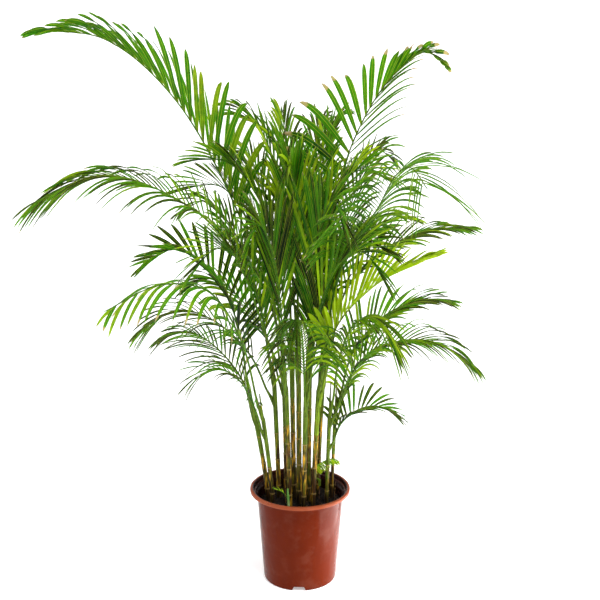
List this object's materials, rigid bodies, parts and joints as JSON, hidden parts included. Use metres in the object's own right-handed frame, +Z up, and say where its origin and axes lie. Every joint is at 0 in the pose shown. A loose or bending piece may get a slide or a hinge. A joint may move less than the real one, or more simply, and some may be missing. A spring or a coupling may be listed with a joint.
{
  "type": "potted palm",
  "caption": "Clump-forming feather palm with slim ringed canes and arching fronds of narrow leaflets, standing in soil in a round plastic nursery pot with a rolled rim.",
  "frame": {"origin": "centre of the pot's underside, on the ground", "axes": "+Z up along the pot's axis, -Y the front that the picture shows, +X to its right"},
  "size_m": [1.0523, 0.8518, 1.3205],
  "materials": {
    "pot": "semi-gloss terracotta-brown moulded plastic",
    "soil": "dark moist peat potting mix",
    "cane": "satin olive and tan cane with ring scars, green towards the top",
    "frond": "satin green leaf with yellow-green ribs",
    "stump": "dark fibrous dead stem",
    "shoot": "satin bright young green"
  },
  "bodies": {
    "root": {"cane_01": "cane", "cane_02": "cane", "cane_03": "cane", "cane_04": "cane", "cane_05": "cane", "cane_06": "cane", "cane_07": "cane", "cane_08": "cane", "cane_09": "cane", "cane_10": "cane", "cane_11": "cane", "cane_12": "cane", "cane_13": "cane", "cane_14": "cane", "cut_cane_left": "cane", "cut_cane_right": "cane", "cut_cane_small": "cane", "frond_back_far_left": "frond", "frond_back_high": "frond", "frond_back_left": "frond", "frond_back_low": "frond", "frond_back_mid": "frond", "frond_back_right": "frond", "frond_back_top": "frond", "frond_crown_back": "frond", "frond_crown_front": "frond", "frond_crown_left": "frond", "frond_crown_right": "frond", "frond_front_far_left": "frond", "frond_front_left": "frond", "frond_front_low": "frond", "frond_front_low_right": "frond", "frond_front_right": "frond", "frond_front_side": "frond", "frond_front_top": "frond", "frond_inner_left": "frond", "frond_inner_right": "frond", "frond_left_back": "frond", "frond_left_high": "frond", "frond_left_low": "frond", "frond_left_lower": "frond", "frond_left_lowest": "frond", "frond_left_mid": "frond", "frond_left_pale": "frond", "frond_left_top": "frond", "frond_right_arch": "frond", "frond_right_back": "frond", "frond_right_high": "frond", "frond_right_low": "frond", "frond_right_lower": "frond", "frond_right_lowest": "frond", "frond_right_mid": "frond", "frond_right_top": "frond", "frond_right_young": "frond", "old_stump": "stump", "pot": "pot", "soil": "soil", "stump_shoot": "shoot", "young_leaf": "shoot", "young_shoot": "shoot"}
  },
  "joints": []
}
